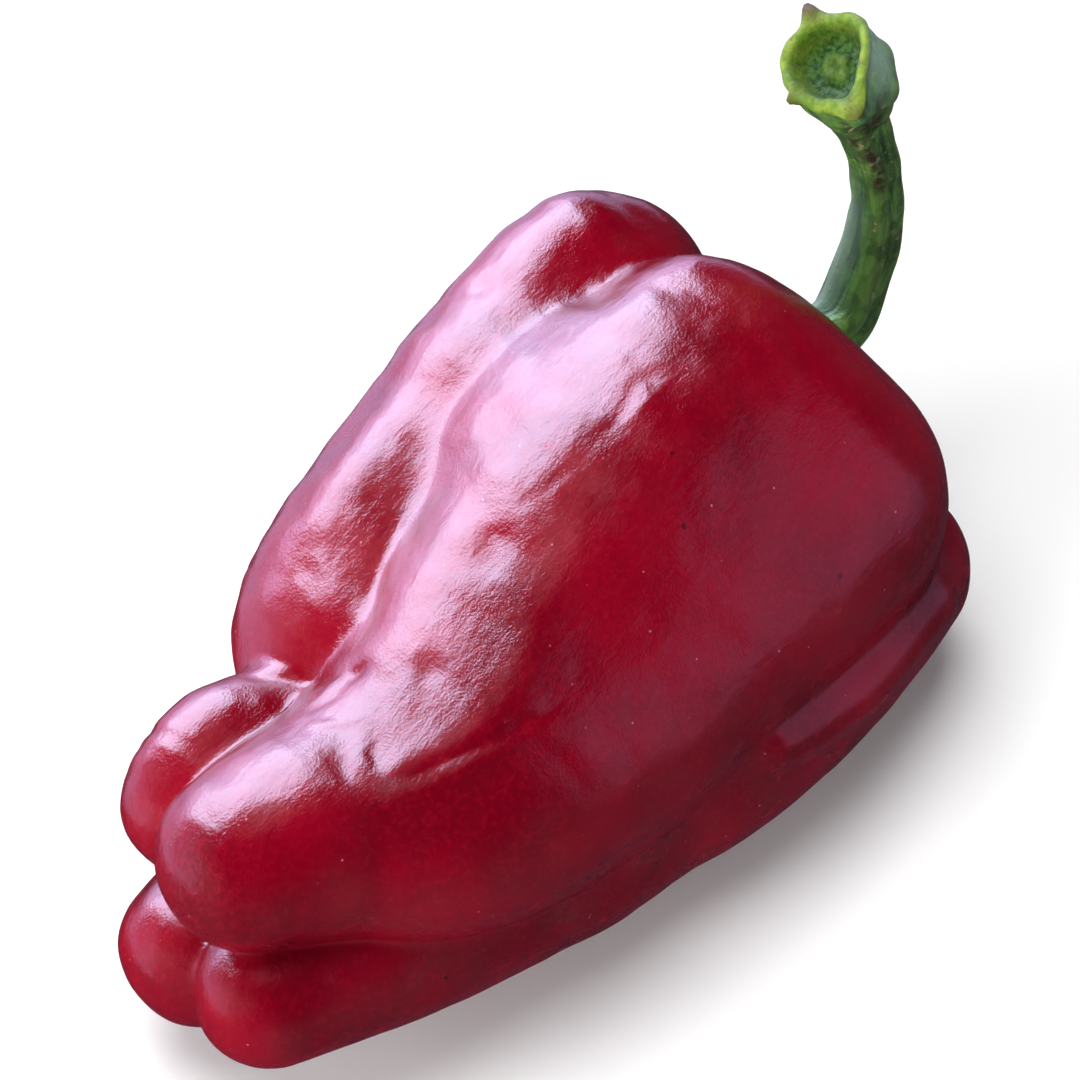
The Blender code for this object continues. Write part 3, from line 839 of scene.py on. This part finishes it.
# Millimetres that the camera aims left of the fruit's middle, and above it.
AIM_LEFT = 7.0
AIM_ABOVE = 7.0
right = np.array([math.cos(CAMERA_TURN), -math.sin(CAMERA_TURN), 0.0])
ahead = np.array([
    math.cos(CAMERA_RISE) * math.sin(CAMERA_TURN),
    math.cos(CAMERA_RISE) * math.cos(CAMERA_TURN),
    -math.sin(CAMERA_RISE),
])
upward = np.cross(right, ahead)
aim = lie - AIM_LEFT * right + AIM_ABOVE * upward
camera_data = bpy.data.cameras.new("camera")
camera_data.lens = LENS
camera_data.sensor_width = 36.0
camera = bpy.data.objects.new("camera", camera_data)
bpy.context.scene.collection.objects.link(camera)
camera.location = Vector((aim - CAMERA_DISTANCE * ahead) * MILLIMETRE)
camera.rotation_euler = Vector(ahead).to_track_quat("-Z", "Y").to_euler()
bpy.context.scene.camera = camera


def soft_box(name, place, size, power, colour):
    """An area light at a place in metres, facing the pepper's middle."""
    data = bpy.data.lights.new(name, "AREA")
    data.shape = "RECTANGLE"
    data.size, data.size_y = size
    data.energy = power
    data.color = colour
    light = bpy.data.objects.new(name, data)
    bpy.context.scene.collection.objects.link(light)
    light.location = place
    light.rotation_euler = (-Vector(place)).to_track_quat("-Z", "Y").to_euler()
    return light


PALE_BLUE = (0.66, 0.69, 1.0)
LAVENDER = (0.68, 0.57, 1.0)
WHITE = (1.0, 1.0, 1.0)
# Seen only in reflections: the window, brighter above, the two walls and the lit table.
for name, place, size, power, colour in (
    ("window_upper", (0.34, 1.05, 0.86), (1.55, 1.24), 96.0, PALE_BLUE),
    ("window_lower", (0.335, 1.03, 0.12), (1.55, 0.4), 11.0, LAVENDER),
    ("far_wall", (0.6, -0.96, 0.36), (0.9, 1.05), 2.0, LAVENDER),
    ("left_wall", (-0.85, 0.75, 0.2), (0.9, 0.6), 1.7, LAVENDER),
):
    soft_box(name, place, size, power, colour).visible_diffuse = False
lit_table = soft_box("lit_table", (-0.05, 0.42, 0.002), (1.3, 0.66), 3.6, LAVENDER)
lit_table.rotation_euler = (math.pi, 0.0, 0.0)
lit_table.visible_diffuse = False
lit_table.visible_camera = False
# Seen in no reflection: plain white light from the window's side and from overhead.
soft_box("window_glow", (-1.05, 0.4, 0.35), (1.3, 1.0), 18.0, WHITE).visible_glossy = False
soft_box("overhead", (-0.08, 0.2, 1.41), (0.85, 0.85), 21.5, WHITE).visible_glossy = False

ROOM_ABOVE = (0.006, 0.004, 0.007)
ROOM_AT_TABLE = (0.05, 0.035, 0.055)
world = bpy.data.worlds.new("room")
world.use_nodes = True
room = world.node_tree
rise = room.nodes.new("ShaderNodeSeparateXYZ")
room.links.new(room.nodes.new("ShaderNodeTexCoord").outputs["Generated"], rise.inputs[0])
dim = mixed(room, spread(room, rise.outputs["Z"], 0.0, 0.4), ROOM_AT_TABLE, ROOM_ABOVE)
room.links.new(dim, room.nodes["Background"].inputs["Color"])
bpy.context.scene.world = world
bpy.context.scene.view_settings.view_transform = "Standard"
